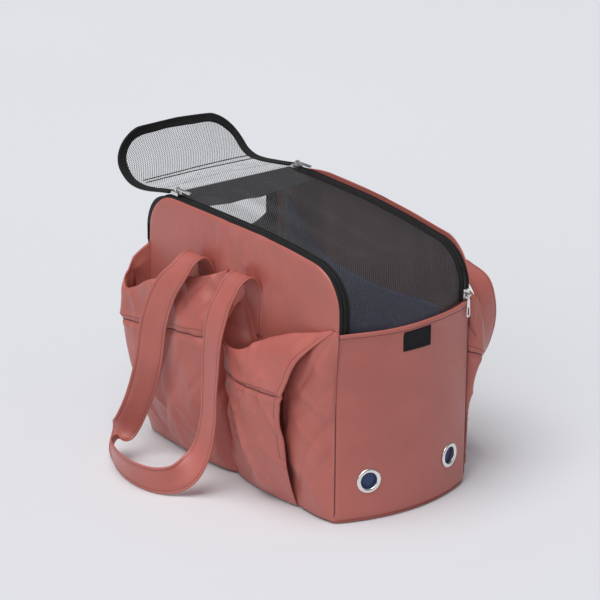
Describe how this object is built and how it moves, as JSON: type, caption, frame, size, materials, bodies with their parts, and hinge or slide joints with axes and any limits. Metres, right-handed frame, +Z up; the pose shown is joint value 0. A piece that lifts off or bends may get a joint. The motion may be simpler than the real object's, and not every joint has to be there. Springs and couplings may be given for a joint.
{
  "type": "pet carrier bag",
  "caption": "Soft-sided small-pet carrier tote with a zipped mesh top, an end flap door, outer pockets, vent eyelets and two strap handles.",
  "frame": {"origin": "centre of the flat base, on the surface that the bag stands on", "axes": "+X along the bag from the flap door to the closed end, -Y towards the front long side, +Z up"},
  "size_m": [0.4591, 0.4167, 0.3769],
  "materials": {
    "terracotta_nylon": "satin twill nylon",
    "black_mesh": "open polyester mesh",
    "black_tape": "ribbed polyester tape",
    "zip_coil": "moulded nylon coil",
    "zip_metal": "polished nickel",
    "eyelet_metal": "bright nickel",
    "navy_spacer": "ribbed spacer fabric",
    "wine_lining": "thin woven lining",
    "black_label": "woven patch",
    "foam": "open-cell foam sheet",
    "stiffener_board": "fine grain"
  },
  "bodies": {
    "shell": {"base_panel": "terracotta_nylon", "base_board": "stiffener_board", "floor_mat": "navy_spacer", "cabin_liner": "navy_spacer", "front_panel": "terracotta_nylon", "front_foam": "foam", "front_lining": "wine_lining", "rear_panel": "terracotta_nylon", "rear_foam": "foam", "rear_lining": "wine_lining", "near_end_panel": "terracotta_nylon", "near_end_foam": "foam", "near_end_lining": "wine_lining", "far_end_panel": "terracotta_nylon", "far_end_foam": "foam", "far_end_lining": "wine_lining", "near_rim_binding": "terracotta_nylon", "far_rim_tape": "black_tape", "label_patch": "black_label", "near_vent_eyelets": "eyelet_metal", "near_vent_washers": "eyelet_metal", "far_vent_eyelets": "eyelet_metal", "far_vent_washers": "eyelet_metal", "top_mesh": "black_mesh", "hinge_band": "black_tape", "front_zip_tape": "black_tape", "front_zip_coil": "zip_coil", "rear_zip_tape": "black_tape", "rear_zip_coil": "zip_coil", "front_near_pocket_panel": "terracotta_nylon", "front_near_pocket_yoke": "terracotta_nylon", "front_near_pocket_gussets": "terracotta_nylon", "front_far_pocket_panel": "terracotta_nylon", "front_far_pocket_yoke": "terracotta_nylon", "front_far_pocket_gussets": "terracotta_nylon", "rear_near_pocket_panel": "terracotta_nylon", "rear_near_pocket_yoke": "terracotta_nylon", "rear_near_pocket_gussets": "terracotta_nylon", "rear_far_pocket_panel": "terracotta_nylon", "rear_far_pocket_yoke": "terracotta_nylon", "rear_far_pocket_gussets": "terracotta_nylon", "front_handle_roots": "terracotta_nylon", "rear_handle_roots": "terracotta_nylon"},
    "flap_inner": {"flap_inner_mesh": "black_mesh", "flap_inner_binding": "black_tape"},
    "flap_outer": {"flap_outer_mesh": "black_mesh", "flap_outer_binding": "black_tape"},
    "front_far_slider": {"front_far_slider": "zip_metal"},
    "front_far_pull": {"front_far_pull": "zip_metal"},
    "rear_far_slider": {"rear_far_slider": "zip_metal"},
    "rear_far_pull": {"rear_far_pull": "zip_metal"},
    "rear_near_slider": {"rear_near_slider": "zip_metal"},
    "rear_near_pull": {"rear_near_pull": "zip_metal"},
    "front_handle": {"front_handle": "terracotta_nylon"},
    "rear_handle": {"rear_handle": "terracotta_nylon"}
  },
  "joints": [
    {"name": "flap_hinge", "type": "hinge", "parent": "shell", "child": "flap_inner", "pos_m": [-0.1425, 0, 0.3172], "axis": [0, -1, 0], "range_deg": [-90, 8]},
    {"name": "flap_fold", "type": "hinge", "parent": "flap_inner", "child": "flap_outer", "pos_m": [-0.21215, 0, 0.31025], "axis": [0, -1, 0], "range_deg": [0, 136]},
    {"name": "front_far_zip", "type": "slide", "parent": "shell", "child": "front_far_slider", "axis": [1, 0, 0], "range_m": [0, 0.16]},
    {"name": "front_far_pull_swing", "type": "hinge", "parent": "front_far_slider", "child": "front_far_pull", "pos_m": [-0.132, -0.091, 0.3226], "axis": [0, -1, 0], "range_deg": [0, 180]},
    {"name": "rear_far_zip", "type": "slide", "parent": "shell", "child": "rear_far_slider", "axis": [1, 0, 0], "range_m": [0, 0.16]},
    {"name": "rear_far_pull_swing", "type": "hinge", "parent": "rear_far_slider", "child": "rear_far_pull", "pos_m": [-0.132, 0.091, 0.3226], "axis": [0, -1, 0], "range_deg": [0, 180]},
    {"name": "rear_near_zip", "type": "slide", "parent": "shell", "child": "rear_near_slider", "axis": [0, 0, 1], "range_m": [0, 0.02]},
    {"name": "rear_near_pull_swing", "type": "hinge", "parent": "rear_near_slider", "child": "rear_near_pull", "pos_m": [0.1876, 0.091, 0.24], "axis": [0, -1, 0], "range_deg": [0, 180]},
    {"name": "front_handle_swing", "type": "hinge", "parent": "shell", "child": "front_handle", "pos_m": [0, -0.128, 0.263], "axis": [-1, 0, 0], "range_deg": [0, 160]},
    {"name": "rear_handle_swing", "type": "hinge", "parent": "shell", "child": "rear_handle", "pos_m": [0, 0.128, 0.263], "axis": [1, 0, 0], "range_deg": [0, 140]}
  ]
}
